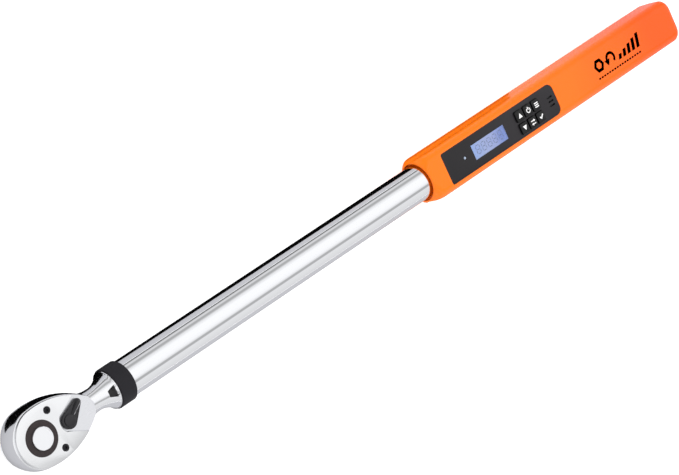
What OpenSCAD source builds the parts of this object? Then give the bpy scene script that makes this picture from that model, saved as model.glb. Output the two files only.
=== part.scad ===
// Digital torque wrench with a reversible ratchet head, half-inch square drive.
// Frame: origin where the drive's square leaves its shoulder, +X along the handle,
// +Z up through the ratchet face. Millimetres.

/* [Drive] */
// Side of the male square drive
drive_side = 12.7; // [12:0.1:13.2]
// Length of the square drive below its shoulder
drive_len = 15.9; // [15.8:0.1:18]
// Teeth on the drive gear
gear_teeth = 72; // [48:12:72]
// Travel of the socket release button
button_travel = 2.8; // [2:0.1:2.8]

/* [Head] */
// Height of the tool's long axis above the drive shoulder
axis_z = 12.5; // [12.2:0.1:12.8]
// Height of the ratchet face above the drive shoulder
face_z = 21.8; // [21.6:0.1:22]
// Thickness of the cover plate
plate_t = 2.5; // [2.2:0.1:2.6]
// Distance from the drive axis to the reversing lever's spindle
lever_x = 23.1; // [22.8:0.1:23.4]
// Angle of the reversing lever from the long axis
lever_angle = 34.6; // [30:0.2:35]

/* [Tube] */
// Outer diameter of the steel tube
tube_d = 27; // [26.6:0.1:27.2]
// Wall of the steel tube
tube_wall = 1.45; // [1.2:0.05:1.5]
// Where the neck ends and the tube starts
tube_x = 64.3; // [64:0.1:64.6]
// Where the tube ends inside the handle
tube_end = 575; // [572:1:577]

/* [Handle] */
// Where the handle starts
handle_x = 371; // [370:0.5:371.5]
// Where the handle ends
handle_end = 662.5; // [661:0.5:664]
// Width of the handle
handle_w = 35; // [34.8:0.1:35.4]
// Thickness of the handle
handle_h = 32.8; // [32.6:0.1:33.4]
// Radius of the handle's long corners
handle_r = 7; // [6.5:0.5:7.5]
// Wall of the handle's mouldings
wall = 2.2; // [2:0.1:2.3]

/* [Controls] */
// Length of the black fascia
fascia_len = 125; // [124:0.5:126]
// Width of the black fascia
fascia_w = 24.9; // [24.6:0.1:25.2]
// Travel of each key
key_travel = 0.9; // [0.5:0.1:0.9]

/* [Hidden] */
$fn = 96;
eps = 0.05;
fit = 0.06; // radial running clearance
gap = 0.15; // clearance of a sliding key or cover
facet = 72; // circle steps inside hulls

head_bottom = 0.8;
belly_z = axis_z - 1.2;
plate_bottom = face_z - plate_t;
pocket_floor = face_z - 0.8;

side_arc_r = 58;
side_arc = [5.8, 37.4];
tip_r = 12;
tip_cx = 33.6;
face_cx = 1.6;
belly_cx = 0.5;
belly_grow = 1.5;
bottom_cx = 0.8;

collar_r = 12.15;
hub_r = 11.5;
gear_tip_r = 14.5;
gear_root_r = 13.7;
gear_pocket_r = 15.1;
gear_z = [4.3, 19.0];
collar_top = face_z + 0.5;
button_r = 7.8;
button_top = face_z + 2.2;
button_floor = 12;
cap_bottom = button_floor + 3 + button_travel;
stem_r = 2.1;
land_r = 3.1;
stem_bore_r = 3.25;
ball_r = 2;
ball_z = -9;
ball_x = 5.25;

screw_at = [12.3, 14.0];
pawl_r = [14.75, 18.7];
pawl_half_angle = 31;
pawl_pivot_x = 17;
pawl_tilt = 1.2;
lever_boss_r = 5.8;
lever_tip_r = 2.8;
lever_len = 16;
lever_bottom = pocket_floor + 0.2;
lever_top = lever_bottom + 2.8;
spindle_r = 3.0;
plunger_r = 1.3;
plunger_reach = 5.3;
plunger_z = 12;
v_slope = 0.52;
v_half = 7.6;

tube_r = tube_d / 2;
bore_r = tube_r - tube_wall;
neck_r = 8.4;
neck_x = 51;
flare_r = 14;
flare_arc_r = 17;
lip = 1.2;
mark_depth = 0.8;
mark_x = [58, 62.6];
mark_y = [[-2.6, 1.8], [-4.5, 4.1]];
collar_ring_r = 14.95;
collar_ring_len = 13.3;
shank_r = bore_r - 0.04;
beam_x = [80, 118];
plug_end = 150;
pin_x = [126, 142];
pin_r = 2.5;
cable_y = 7.6;

parting = -9.6; // height of the back opening, from the long axis
bay_x = [582, 651];
front_wall = 6;
front_r = 16.2;
end_wall = 4;
fascia_x = 387.5;
fascia_t = 1.4;
fascia_top = handle_h / 2 - 0.1;
opening_inset = 3.5;
lcd = [417, 453.2];
lcd_w = 11.5;
lcd_y = -0.4;
key_x0 = 471;
key_pitch = [9.5, 10.05];
key_y = -0.95;
key_size = [8.2, 8.6];
key_top = fascia_top + 1.9;
slot_x = 506.2;
slot_pitch = 3.25;
slot_size = [5.6, 1.3];
led_x = 407.7;
led_r = 1.2;
board_top = 11.0;
board_t = 1.6;
key_bottom = board_top + 1.3 + key_travel;
board_screw_at = [for (x = [395, 499.2], s = [-1, 1]) [x, s * 8.6]];
rib_x = [380, 562];
boss_x = [396, 486, 570];
boss_y = 13.6;
cut_x = [390, 556];
cut_z = 4.5;
flute_r = 14;
flute_depth = 1.2;
hinge_gap = 0.5; // extra room at the battery door's free end
cell_r = 7.2;
cell_len = 49.4;
cell_at = [617, 7.3, -3.6];
lead_z = 2.2;

// ---- helpers -------------------------------------------------------------------------

// Raises its children from the drive shoulder to the tool's long axis.
module at_axis() translate([0, 0, axis_z]) children();

// A round bar on the long axis from x0 to x1.
module bar(r, x0, x1) at_axis() translate([x0, 0, 0]) rotate([0, 90, 0]) cylinder(r = r, h = x1 - x0);

// Extrudes a section drawn in (y, height from the axis) from x0 to x1.
module extrude_x(x0, x1) at_axis() translate([x0, 0, 0]) rotate([90, 0, 90])
    linear_extrude(x1 - x0) children();

// Revolves a profile drawn in (radius, x) about the long axis.
module revolve_x() at_axis() rotate([0, 90, 0]) rotate_extrude() children();

// A box from corner a to corner b, heights measured from the long axis.
module box_axis(a, b) at_axis() translate(a) cube(b - a);

// A rectangle with round corners, made of true arcs.
module round_rect(w, h, r) {
    square([w - 2 * r, h], center = true);
    square([w, h - 2 * r], center = true);
    for (sx = [-1, 1], sy = [-1, 1]) translate([sx * (w / 2 - r), sy * (h / 2 - r)]) circle(r = r);
}

// A chamfered disc standing on z = 0.
module chamfered_disc(r, h, c) {
    cylinder(r = r, h = h - c);
    translate([0, 0, h - c]) cylinder(r1 = r, r2 = r - c, h = c);
}

// Outline of a toothed wheel.
function gear_points(root, tip, n) = [for (i = [0:2 * n - 1])
    let (a = i * 180 / n, r = i % 2 == 0 ? tip : root) [r * cos(a), r * sin(a)]];

// A round wire wound into a helix about z.
module helix(r, wire, z0, z1, turns) {
    sides = 6;
    steps = 14 * turns;
    rings = [for (i = [0:steps]) let (a = 360 * turns * i / steps, z = z0 + (z1 - z0) * i / steps)
        for (j = [0:sides - 1]) let (b = 360 * j / sides, q = r + wire * cos(b))
            [q * cos(a), q * sin(a), z + wire * sin(b)]];
    skin = [for (i = [0:steps - 1], j = [0:sides - 1]) let (k = (j + 1) % sides)
        each [[i * sides + j, i * sides + k, (i + 1) * sides + k],
              [i * sides + j, (i + 1) * sides + k, (i + 1) * sides + j]]];
    start_cap = [[for (j = [sides - 1:-1:0]) j]];
    end_cap = [[for (j = [0:sides - 1]) steps * sides + j]];
    polyhedron(points = rings, faces = concat([for (f = skin) [f[2], f[1], f[0]]],
        [for (f = start_cap) [for (i = [len(f) - 1:-1:0]) f[i]]],
        [for (f = end_cap) [for (i = [len(f) - 1:-1:0]) f[i]]]));
}

// ---- ratchet head --------------------------------------------------------------------

// Pear outline: a round nose and two long side arcs tangent to it, with a round tip.
module head_outline(cx, grow) {
    side = side_arc_r + grow;
    translate([cx, 0]) circle(r = side - norm([side_arc[0] - cx, side_arc[1]]));
    intersection() {
        translate([side_arc[0], -side_arc[1]]) circle(r = side);
        translate([side_arc[0], side_arc[1]]) circle(r = side);
        union() {
            translate([cx, -30]) square([38 - cx, 60]);
            translate([tip_cx, 0]) circle(r = tip_r + grow);
        }
    }
}

module head_slice(z, cx, grow) translate([0, 0, z]) linear_extrude(eps) head_outline(cx, grow, $fn = facet);

// The forging's head: widest at the belly, drawn in towards both faces.
module head_block() {
    hull() {
        head_slice(plate_bottom - eps, face_cx, 0.3);
        head_slice(belly_z, belly_cx, belly_grow);
    }
    hull() {
        head_slice(belly_z, belly_cx, belly_grow);
        head_slice(head_bottom + 2.5, bottom_cx, 0.6);
        head_slice(head_bottom, bottom_cx, -0.8);
    }
}

// Neck, flare and lip in front of the tube, as (radius, x).
module neck_profile() {
    translate([0, 28]) square([neck_r, neck_x - 28]);
    difference() {
        translate([0, neck_x]) square([flare_r, tube_x - lip - neck_x]);
        translate([neck_r + flare_arc_r, neck_x]) circle(r = flare_arc_r);
    }
    translate([0, tube_x - lip]) square([flare_r, lip]);
    translate([0, tube_x]) square([shank_r, beam_x[0] - tube_x]);
    translate([0, beam_x[1]]) square([shank_r, plug_end - beam_x[1]]);
}

// Shallow index mark milled into the top of the flare, following its curve.
module flare_mark() difference() {
    at_axis() translate([0, 0, neck_r]) linear_extrude(10)
        polygon([for (i = [0, 1]) [mark_x[i], mark_y[i][0]], for (i = [1, 0]) [mark_x[i], mark_y[i][1]]]);
    revolve_x() difference() {
        translate([0, neck_x]) square([flare_r, tube_x - neck_x]);
        translate([neck_r + flare_arc_r, neck_x]) circle(r = flare_arc_r + mark_depth);
    }
}

module ratchet_head() color("gainsboro") difference() {
    union() {
        head_block();
        revolve_x() neck_profile();
        box_axis([beam_x[0] - 1, -6, -9], [beam_x[1] + 1, 6, 9]);
    }
    flare_mark();
    translate([0, 0, plate_bottom]) linear_extrude(10) head_outline(face_cx, 0);
    translate([0, 0, gear_z[0] - 0.3]) linear_extrude(plate_bottom) {
        circle(r = gear_pocket_r);
        intersection() {
            circle(r = 19.6);
            polygon([[0, 0], [30, 30 * tan(38)], [30, -30 * tan(38)]]);
        }
        translate([lever_x, 0]) circle(r = 5.6);
    }
    translate([0, 0, -1]) cylinder(r = hub_r + fit, h = gear_z[0] + 1);
    translate([lever_x, 0, 2.4]) cylinder(r = spindle_r + fit, h = 3);
    for (s = [-1, 1]) translate([screw_at[0], s * screw_at[1], 10.5]) cylinder(r = 1.25, h = 12);
    for (x = pin_x) at_axis() translate([x, 0, -14]) cylinder(r = pin_r + 0.02, h = 10.5);
    at_axis() translate([beam_x[1] - 1, cable_y, 0]) rotate([0, 90, 0]) cylinder(r = 2, h = 40);
}

// Shallow sector in the plate's face that the lever sweeps over.
module lever_pocket() {
    far = 30;
    translate([lever_x, 0]) {
        circle(r = v_half / sqrt(1 + v_slope * v_slope));
        polygon([[-v_slope * 6, v_half - 6 * v_slope * v_slope], [far, v_half + far * v_slope],
            [far, -v_half - far * v_slope], [-v_slope * 6, 6 * v_slope * v_slope - v_half]]);
    }
}

module cover_plate() color("silver") difference() {
    translate([0, 0, plate_bottom]) linear_extrude(plate_t) head_outline(face_cx, 0);
    translate([0, 0, plate_bottom - 1]) cylinder(r = collar_r + fit, h = plate_t + 2);
    translate([lever_x, 0, plate_bottom - 1]) cylinder(r = spindle_r + fit, h = plate_t + 2);
    translate([0, 0, pocket_floor]) linear_extrude(2) lever_pocket();
    for (s = [-1, 1]) translate([screw_at[0], s * screw_at[1], plate_bottom - 1]) {
        cylinder(r = 1.6, h = plate_t + 2);
        translate([0, 0, 1.9]) cylinder(r = 2.7, h = plate_t);
    }
}

module cover_screws() color("dimgray")
    for (s = [-1, 1]) translate([screw_at[0], s * screw_at[1], 0]) difference() {
        union() {
            translate([0, 0, 11]) cylinder(r = 1.2, h = 10);
            translate([0, 0, plate_bottom + 0.9]) chamfered_disc(2.6, 1.5, 0.3);
        }
        translate([0, 0, face_z - 1.1]) cylinder(r = 1.3, h = 2, $fn = 6);
    }

// ---- drive ---------------------------------------------------------------------------

module drive_square() intersection() {
    translate([-drive_side / 2, -drive_side / 2, -drive_len]) cube([drive_side, drive_side, drive_len + 1]);
    union() {
        translate([0, 0, -drive_len]) cylinder(r1 = drive_side * 0.53, r2 = drive_side * 0.66, h = 1.6);
        translate([0, 0, 1.6 - drive_len]) cylinder(r = drive_side * 0.66, h = drive_len);
    }
}

module drive_gear() color("dimgray") difference() {
    union() {
        translate([0, 0, gear_z[0]]) linear_extrude(gear_z[1] - gear_z[0])
            polygon(gear_points(gear_root_r, gear_tip_r, gear_teeth));
        translate([0, 0, gear_z[1] - 1]) chamfered_disc(collar_r, collar_top - gear_z[1] + 1, 0.5);
        cylinder(r = hub_r, h = gear_z[0] + 1);
        drive_square();
    }
    translate([0, 0, button_floor]) cylinder(r = button_r + 0.1, h = 20);
    translate([0, 0, 1.1 - drive_len]) cylinder(r = stem_bore_r, h = 40);
    translate([0, 0, ball_z]) rotate([0, 90, 0]) cylinder(r = ball_r + 0.05, h = 12);
}

module release_button() color("silver") {
    difference() {
        translate([0, 0, cap_bottom]) chamfered_disc(button_r, button_top - cap_bottom, 0.3);
        translate([0, 0, button_top - 0.25]) cylinder(r = button_r - 0.9, h = 1);
    }
    translate([0, 0, ball_z + 3]) cylinder(r = stem_r, h = cap_bottom - ball_z - 2);
    translate([0, 0, ball_z]) cylinder(r1 = land_r, r2 = stem_r, h = 3);
    translate([0, 0, ball_z - 2.6]) cylinder(r = land_r, h = 2.6);
}

module button_spring() color("lightgray") helix(4.6, 0.45, button_floor + 0.5, cap_bottom - 0.5, 3);

module detent_ball() color("silver") translate([ball_x, 0, ball_z]) sphere(r = ball_r);

// ---- reversing gear ------------------------------------------------------------------

// The double pawl, drawn lifted just clear of the gear's teeth.
module pawl() color("gray")
    translate([pawl_pivot_x, 0, gear_z[0] + 0.7]) rotate([0, 0, -pawl_tilt]) translate([-pawl_pivot_x, 0, 0])
        linear_extrude(13.4) difference() {
            intersection() {
                circle(r = pawl_r[1]);
                polygon([[0, 0], [30, 30 * tan(pawl_half_angle)], [30, -30 * tan(pawl_half_angle)]]);
            }
            polygon(gear_points(pawl_r[0], pawl_r[0] + 0.8, gear_teeth));
            translate([lever_x, 0]) circle(r = plunger_reach + 0.45);
        }

// Turns a piece drawn along +X from the spindle to the lever's rest angle.
module on_lever() translate([lever_x, 0, 0]) rotate([0, 0, lever_angle]) children();

module reversing_lever() color([0.2, 0.2, 0.22]) on_lever() difference() {
    union() {
        hull() {
            translate([0, 0, lever_bottom]) cylinder(r = lever_boss_r, h = 2.8, $fn = 48);
            translate([lever_len - lever_tip_r, 0, lever_bottom])
                cylinder(r = lever_tip_r, h = 2.2, $fn = 32);
        }
        hull() {
            translate([3, 0, lever_top - 0.4]) cylinder(r = 0.8, h = 0.5, $fn = 32);
            translate([lever_len - 1.8, -1.2, lever_top - 1]) cube([1.2, 2.4, 2.4]);
        }
        translate([0, 0, 3.2]) cylinder(r = spindle_r, h = lever_bottom - 3);
    }
    translate([-spindle_r - 1, 0, plunger_z]) rotate([0, 90, 0])
        cylinder(r = plunger_r + fit, h = spindle_r + 2.4);
    translate([0, 0, 17.4]) difference() {
        cylinder(r = 4, h = 0.8);
        translate([0, 0, -1]) cylinder(r = 2.5, h = 3);
    }
}

module lever_clip() color("lightgray") on_lever() translate([0, 0, 17.5])
    rotate([0, 0, 30]) rotate_extrude(angle = 300) translate([2.55, 0]) square([1.6, 0.6]);

module pawl_plunger() color("silver") on_lever() translate([0, 0, plunger_z]) {
    translate([plunger_r - plunger_reach, 0, 0]) sphere(r = plunger_r);
    translate([plunger_r - plunger_reach, 0, 0]) rotate([0, 90, 0]) cylinder(r = plunger_r, h = 2);
}

module plunger_spring() color("lightgray") on_lever() translate([0, 0, plunger_z]) rotate([0, 90, 0])
    helix(0.85, 0.2, -1.7, 1.1, 3);

// ---- tube and torque beam ------------------------------------------------------------

module collar_ring() color([0.13, 0.13, 0.14]) revolve_x() translate([0, tube_x + gap])
    polygon([[tube_r + 0.05, 0], [collar_ring_r - 0.7, 0], [collar_ring_r, 0.7],
        [collar_ring_r, collar_ring_len - 1], [collar_ring_r - 1, collar_ring_len],
        [tube_r + 0.05, collar_ring_len]]);

module tube() color("gainsboro") difference() {
    bar(tube_r, tube_x + 0.02, tube_end);
    bar(bore_r, tube_x - 1, tube_end + 1);
    box_axis([cut_x[0], -20, cut_z], [cut_x[1], 20, 20]);
    for (x = pin_x) at_axis() translate([x, 0, -20]) cylinder(r = pin_r + 0.02, h = 12);
    for (x = rib_x) at_axis() translate([x + 5, 0, -20]) cylinder(r = 1.75, h = 12);
}

module shank_pins() color("silver")
    for (x = pin_x) at_axis() translate([x, 0, -tube_r + 0.2]) cylinder(r = pin_r, h = 9.5);

module strain_gauges() color("darkgoldenrod")
    for (s = [-1, 1], x = [90, 106])
        box_axis([x - 4, s * 6.15 - 0.1, -3], [x + 4, s * 6.15 + 0.1, 3]);

module gauge_cable() color("firebrick") {
    end = 462;
    at_axis() {
        translate([beam_x[1] - 14, cable_y, 0]) rotate([0, 90, 0])
            cylinder(r = 1.1, h = end - beam_x[1] + 14);
        translate([end, cable_y, 0]) sphere(r = 1.1);
        translate([end, cable_y, 0]) cylinder(r = 1.1, h = board_top - board_t);
    }
}

// ---- handle --------------------------------------------------------------------------

// The handle's outer form: a round-cornered bar with a coned front and a rounded end.
module handle_solid() intersection() {
    extrude_x(handle_x, handle_end) round_rect(handle_w, handle_h, handle_r);
    revolve_x() polygon([[0, handle_x], [front_r, handle_x], [26, handle_x + 11],
        [26, handle_end], [0, handle_end]]);
    at_axis() translate([(handle_x + handle_end) / 2 - 30, 0, 0]) linear_extrude(60, center = true)
        round_rect(handle_end - handle_x + 60, handle_w, 9);
    at_axis() translate([(handle_x + handle_end) / 2 - 30, 0, 0]) rotate([90, 0, 0])
        linear_extrude(60, center = true) round_rect(handle_end - handle_x + 60, handle_h, 8);
}

module cavity(x0, x1) extrude_x(x0, x1)
    round_rect(handle_w - 2 * wall, handle_h - 2 * wall, handle_r - wall);

// Fascia outline, with small corners towards the tube and larger ones towards the grip.
module fascia_outline(grow) {
    small = 2;
    large = 5.5;
    half = fascia_w / 2 + grow;
    x0 = fascia_x - grow;
    x1 = fascia_x + fascia_len + grow;
    translate([x0 + small, -half]) square([x1 - x0 - small - large, 2 * half]);
    translate([x0, small - half]) square([small, 2 * half - 2 * small]);
    translate([x1 - large, large - half]) square([large, 2 * half - 2 * large]);
    for (s = [-1, 1]) {
        translate([x0 + small, s * (half - small)]) circle(r = small);
        translate([x1 - large, s * (half - large)]) circle(r = large);
    }
}

// A long shallow scallop in each side, fading out beside the fascia's far end.
module side_flutes() for (s = [-1, 1])
    at_axis() translate([handle_x + 8, s * (handle_w / 2 + flute_r - flute_depth), 3])
        rotate([0, 90, s * 0.5]) translate([0, 0, -10]) cylinder(r = flute_r, h = 170);

// A wall across the handle with a seat for the tube.
module tube_rib(x, lift) intersection() {
    cavity(x, x + 3);
    difference() {
        box_axis([x, -30, lift < 0 ? -30 : parting + 0.1], [x + 3, 30, lift < 0 ? parting : 30]);
        bar(tube_r + 0.05, x - 1, x + 4);
    }
}

module housing_bosses() difference() {
    for (x = boss_x, s = [-1, 1])
        box_axis([x - 4, s < 0 ? -16 : 11, parting], [x + 4, s < 0 ? -11 : 16, parting + 4]);
    bar(tube_r + 0.06, handle_x, handle_end);
}

module handle_housing() color([1, 0.45, 0.1]) difference() {
    union() {
        difference() {
            handle_solid();
            cavity(handle_x + front_wall, handle_end - end_wall);
            box_axis([handle_x + front_wall, -30, -30], [bay_x[1], 30, parting]);
        }
        for (x = rib_x) tube_rib(x, 1);
        housing_bosses();
    }
    side_flutes();
    bar(15.1, handle_x - 1, handle_x + 3.5);
    bar(tube_r + 0.06, handle_x + 3, handle_x + front_wall + 1);
    at_axis() translate([0, 0, fascia_top - fascia_t - 0.02]) linear_extrude(5) fascia_outline(0.08);
    at_axis() translate([0, 0, handle_h / 2 - wall - 1])
        linear_extrude(5) fascia_outline(-opening_inset / 2);
    for (x = boss_x, s = [-1, 1]) at_axis()
        translate([x, s * boss_y, parting - 1]) cylinder(r = 1.15, h = 4.5);
}

// The part of the handle below the back opening, between two stations.
module back_skin(x0, x1) difference() {
    intersection() {
        handle_solid();
        box_axis([x0, -30, -30], [x1, 30, parting - 0.1]);
    }
    cavity(x0 - 1, x1 + 1);
}

module back_cover() color([1, 0.45, 0.1]) difference() {
    union() {
        back_skin(handle_x + front_wall + 0.1, bay_x[0] - 0.1);
        for (x = rib_x) tube_rib(x, -1);
        for (x = boss_x, s = [-1, 1]) intersection() {
            handle_solid();
            box_axis([x - 4, s < 0 ? -19 : 10, -16], [x + 4, s < 0 ? -10 : 19, parting - 0.1]);
        }
    }
    bar(tube_r + 0.05, handle_x, tube_end + 1);
    for (x = boss_x, s = [-1, 1]) at_axis() translate([x, s * boss_y, -20]) {
        cylinder(r = 1.35, h = 12);
        cylinder(r = 2.6, h = 8);
    }
    for (x = rib_x) at_axis() translate([x + 5, 0, -20]) {
        cylinder(r = 1.9, h = 8);
        cylinder(r = 3.2, h = 4.5);
    }
}

module back_cover_screws() color("dimgray")
    for (x = boss_x, s = [-1, 1]) at_axis() translate([x, s * boss_y, -12]) difference() {
        union() {
            translate([0, 0, -1.6]) cylinder(r = 2.4, h = 1.6);
            cylinder(r = 1.1, h = 5.8);
        }
        translate([0, 0, -2]) cylinder(r = 1.1, h = 1.4, $fn = 6);
    }

module tube_screws() color("dimgray")
    for (x = rib_x) at_axis() translate([x + 5, 0, -15.5]) difference() {
        union() {
            translate([0, 0, -0.6]) cylinder(r = 3, h = 0.6);
            cylinder(r = 1.7, h = 5);
        }
        translate([0, 0, -1]) cylinder(r = 1.3, h = 1.6, $fn = 6);
    }

module battery_door() color([1, 0.45, 0.1]) {
    back_skin(bay_x[0] + hinge_gap, bay_x[1] - gap);
    for (s = [-1, 1])
        box_axis([bay_x[0] + 8, s * 14.5 - 0.6, -13], [bay_x[1] - 4, s * 14.5 + 0.6, parting + 0.9]);
}

// ---- display and keys ----------------------------------------------------------------

function key_centre(col, row) = [key_x0 + col * key_pitch[0], key_y + (0.5 - row) * key_pitch[1]];

module fascia() color([0.16, 0.16, 0.18]) difference() {
    at_axis() {
        translate([0, 0, fascia_top - fascia_t]) linear_extrude(fascia_t) fascia_outline(0);
        for (p = board_screw_at)
            translate([p[0], p[1], board_top]) cylinder(r = 1.5, h = fascia_top - board_top - 0.5);
    }
    box_axis([lcd[0] - 0.1, lcd_y - lcd_w / 2 - 0.1, 12], [lcd[1] + 0.1, lcd_y + lcd_w / 2 + 0.1, 20]);
    for (col = [0:2], row = [0:1]) at_axis()
        translate([key_centre(col, row)[0], key_centre(col, row)[1], 13])
        linear_extrude(6) round_rect(key_size[0] + 2 * gap, key_size[1] + 2 * gap, 1.5);
    for (i = [-1:1]) at_axis() translate([slot_x, lcd_y + i * slot_pitch, 13])
        linear_extrude(6) round_rect(slot_size[0], slot_size[1], 0.6);
    at_axis() translate([led_x, 0, 13]) cylinder(r = 1.3, h = 6);
    for (p = board_screw_at)
        at_axis() translate([p[0], p[1], board_top - 1]) cylinder(r = 0.7, h = 4);
}

module lcd_window() color([0.75, 0.82, 0.95, 0.4])
    box_axis([lcd[0], lcd_y - lcd_w / 2, fascia_top - 1.2], [lcd[1], lcd_y + lcd_w / 2, fascia_top - 0.1]);

module lcd_module() color([0.6, 0.7, 0.9])
    box_axis([lcd[0] - 2, lcd_y - lcd_w / 2 - 2, board_top],
        [lcd[1] + 2, lcd_y + lcd_w / 2 + 2, board_top + 3.7]);

module circuit_board() color("darkgreen") difference() {
    box_axis([391.8, -11, board_top - board_t], [511.2, 11, board_top]);
    for (p = board_screw_at)
        at_axis() translate([p[0], p[1], board_top - 3]) cylinder(r = 0.8, h = 5);
}

module board_screws() color("silver")
    for (p = board_screw_at) at_axis()
        translate([p[0], p[1], board_top - board_t]) {
            translate([0, 0, -1]) cylinder(r = 1.4, h = 1);
            cylinder(r = 0.65, h = 4);
        }

module key_mat() color([0.3, 0.3, 0.32]) {
    box_axis([465.5, key_y - 10.2, board_top], [495.6, key_y + 10.2, board_top + 0.8]);
    for (col = [0:2], row = [0:1]) at_axis()
        translate([key_centre(col, row)[0], key_centre(col, row)[1], board_top + 0.5])
            cylinder(r = 3, h = 0.7);
}

module key(col, row) color([0.08, 0.08, 0.09]) at_axis()
    translate([key_centre(col, row)[0], key_centre(col, row)[1], key_bottom]) {
        linear_extrude(key_top - key_bottom) round_rect(key_size[0], key_size[1], 1.4);
        linear_extrude(0.7) round_rect(key_size[0] + 0.9, key_size[1] + 0.9, 1.6);
    }

module status_led() color("white") at_axis() translate([led_x, 0, board_top]) {
    cylinder(r = led_r, h = fascia_top - board_top - 0.8);
    translate([0, 0, fascia_top - board_top - 0.8]) sphere(r = led_r);
}

module buzzer() color([0.1, 0.1, 0.1]) at_axis() translate([slot_x, lcd_y, board_top])
    difference() {
        cylinder(r = 4.3, h = 3.6);
        translate([0, 0, 2.6]) cylinder(r = 0.8, h = 2);
    }

// ---- battery bay ---------------------------------------------------------------------

module battery_tray() color([0.15, 0.15, 0.15]) difference() {
    box_axis([586, -15.1, -8.2], [648, 15.1, 5.6]);
    box_axis([587.6, -14.55, -10], [646.4, 14.55, 4.2]);
    for (s = [-1, 1]) at_axis() translate([585, s * 3, lead_z]) rotate([0, 90, 0]) cylinder(r = 0.9, h = 4);
}

// Places its children at each cell, along +Z from the cell's middle to its positive end.
module at_cells() for (s = [-1, 1]) at_axis()
    translate([cell_at[0], s * cell_at[1], cell_at[2]]) rotate([0, s * 90, 0]) children();

module batteries() color("goldenrod") at_cells() translate([0, 0, -cell_len / 2]) {
    cylinder(r = cell_r, h = cell_len);
    cylinder(r = 2.7, h = cell_len + 1.2);
}

module battery_springs() color("silver") at_cells()
    helix(3.6, 0.35, -cell_len / 2 - 3.6, -cell_len / 2 - 0.45, 2);

module battery_contacts() color("silver") for (x = [587.7, 645.8])
    box_axis([x, -13, -8], [x + 0.5, 13, 3.5]);

module battery_leads() color("crimson") for (s = [-1, 1]) at_axis() translate([508, s * 3, lead_z]) {
    cylinder(r = 0.7, h = board_top - board_t - lead_z);
    sphere(r = 0.7);
    rotate([0, 90, 0]) cylinder(r = 0.7, h = 587.6 - 508);
}

// ---- nodes ---------------------------------------------------------------------------

ratchet_head();
cover_plate();
cover_screws();
drive_gear();
release_button();
button_spring();
detent_ball();
pawl();
reversing_lever();
lever_clip();
pawl_plunger();
plunger_spring();
collar_ring();
tube();
shank_pins();
strain_gauges();
gauge_cable();
handle_housing();
back_cover();
back_cover_screws();
tube_screws();
fascia();
lcd_window();
lcd_module();
circuit_board();
board_screws();
key_mat();
key(0, 0);  // key_up
key(0, 1);  // key_down
key(1, 0);  // key_power
key(1, 1);  // key_unit
key(2, 0);  // key_menu
key(2, 1);  // key_enter
status_led();
buzzer();
battery_tray();
batteries();
battery_springs();
battery_contacts();
battery_leads();
battery_door();
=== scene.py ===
# %% [markdown]
# # A digital torque wrench
# The CAD model fixes every size and every moving body. This lesson dresses it: the chrome head is rebuilt
# with soft forged curves, the orange mouldings get their rounded edges, and each surface gets the finish
# that its process leaves. The camera and the light come first, because chrome is nothing but its room.

# %% Load the CAD model
import math

import bmesh
import bpy
from mathutils import Matrix, Vector


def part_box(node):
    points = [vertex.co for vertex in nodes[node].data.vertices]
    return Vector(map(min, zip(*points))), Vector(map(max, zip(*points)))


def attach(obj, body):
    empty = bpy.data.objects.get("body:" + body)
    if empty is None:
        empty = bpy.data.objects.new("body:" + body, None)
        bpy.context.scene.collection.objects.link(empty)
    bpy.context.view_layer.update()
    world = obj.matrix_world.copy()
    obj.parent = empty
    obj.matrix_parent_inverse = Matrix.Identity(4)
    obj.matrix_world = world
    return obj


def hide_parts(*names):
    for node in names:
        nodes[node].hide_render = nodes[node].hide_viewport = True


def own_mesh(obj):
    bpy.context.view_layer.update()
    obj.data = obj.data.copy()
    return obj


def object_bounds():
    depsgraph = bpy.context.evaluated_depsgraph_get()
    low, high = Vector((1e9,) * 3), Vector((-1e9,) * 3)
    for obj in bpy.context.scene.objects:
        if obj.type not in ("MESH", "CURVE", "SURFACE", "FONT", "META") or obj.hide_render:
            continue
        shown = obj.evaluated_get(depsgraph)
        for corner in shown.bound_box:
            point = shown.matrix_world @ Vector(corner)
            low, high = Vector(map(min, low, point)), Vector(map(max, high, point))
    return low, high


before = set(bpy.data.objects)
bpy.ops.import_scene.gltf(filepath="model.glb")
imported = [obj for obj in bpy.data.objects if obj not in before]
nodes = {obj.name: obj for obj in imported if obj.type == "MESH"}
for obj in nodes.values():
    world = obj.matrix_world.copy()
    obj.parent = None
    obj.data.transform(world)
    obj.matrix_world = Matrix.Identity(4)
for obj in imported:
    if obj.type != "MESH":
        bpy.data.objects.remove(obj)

cad_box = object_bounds()

# %% [markdown]
# ## Sizes
# Everything is in metres, in the tool's own frame: the origin is at the drive's shoulder, +X runs along the
# handle and +Z comes out of the ratchet face. Sizes are read from the CAD nodes where a node has them.

# %% Sizes taken from the CAD
MM = 0.001
plate_low, plate_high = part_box("cover_plate")
tube_low, tube_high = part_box("tube")
handle_low, handle_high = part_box("handle_housing")
fascia_low, fascia_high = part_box("fascia")
axis_z = (tube_low.z + tube_high.z) / 2
tube_r = (tube_high.z - tube_low.z) / 2
face_z = plate_high.z
print("tool axis", round(axis_z / MM, 2), "mm above the shoulder, tube radius", round(tube_r / MM, 2))


# %% Small helpers
def srgb(code, alpha=1.0):
    """A hex colour as linear values."""
    parts = [int(code[i:i + 2], 16) / 255 for i in (1, 3, 5)]
    linear = [c / 12.92 if c <= 0.04045 else ((c + 0.055) / 1.055) ** 2.4 for c in parts]
    return (*linear, alpha)


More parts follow.
